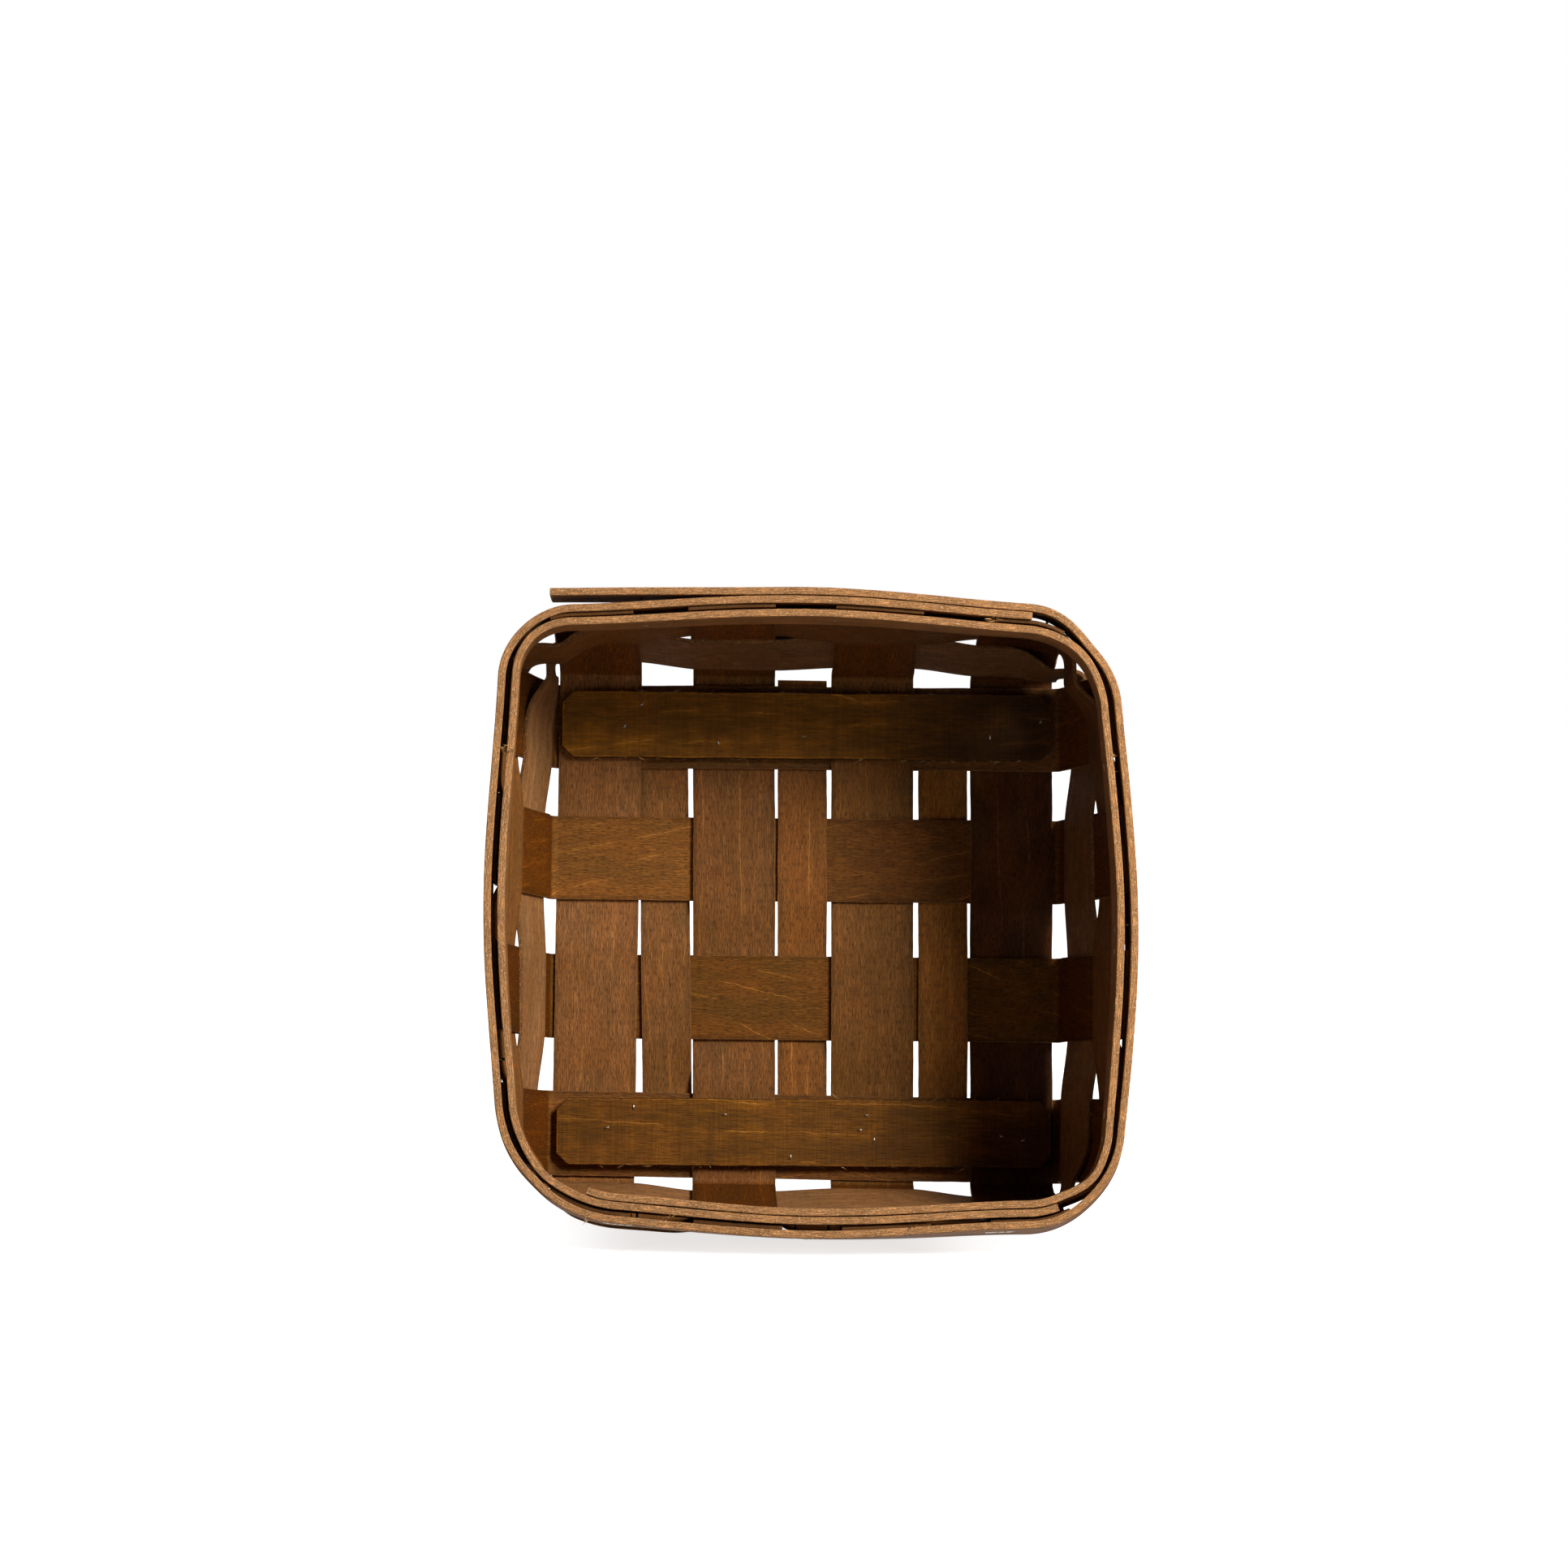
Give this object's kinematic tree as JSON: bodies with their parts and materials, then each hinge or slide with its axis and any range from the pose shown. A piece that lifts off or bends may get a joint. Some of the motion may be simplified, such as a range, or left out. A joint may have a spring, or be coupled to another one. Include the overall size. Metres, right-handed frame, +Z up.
{
  "type": "square basket",
  "caption": "Open square basket of flat wood splints: woven base and flaring walls, lapped weavers, clasped rim bands and stiffening runners under and over the base.",
  "frame": {"origin": "centre of the box around the basket, on the surface that it stands on", "axes": "+Z up out of the opening, X along the runners, Y along the three filler slats; the lapped ends of the outer band lie on the +Y wall"},
  "size_m": [0.1892, 0.1916, 0.0843],
  "materials": {
    "splint": "walnut-brown stained veneer, satin",
    "filler": "walnut-brown stained veneer, satin",
    "weaver": "walnut-brown stained veneer, satin",
    "band": "lighter brown stained veneer with pale cut edges",
    "runner": "dark greenish-brown stained slat, sawn"
  },
  "bodies": {
    "root": {"length_splint_1": "splint", "length_splint_2": "splint", "length_splint_3": "splint", "length_splint_4": "splint", "cross_splint_1": "splint", "cross_splint_2": "splint", "cross_splint_3": "splint", "cross_splint_4": "splint", "filler_slat_1": "filler", "filler_slat_2": "filler", "filler_slat_3": "filler", "inner_runner_1": "runner", "inner_runner_2": "runner", "outer_runner_1": "runner", "outer_runner_2": "runner", "lower_weaver": "weaver", "upper_weaver": "weaver", "outer_rim_band": "band", "inner_rim_band": "band"}
  },
  "joints": []
}
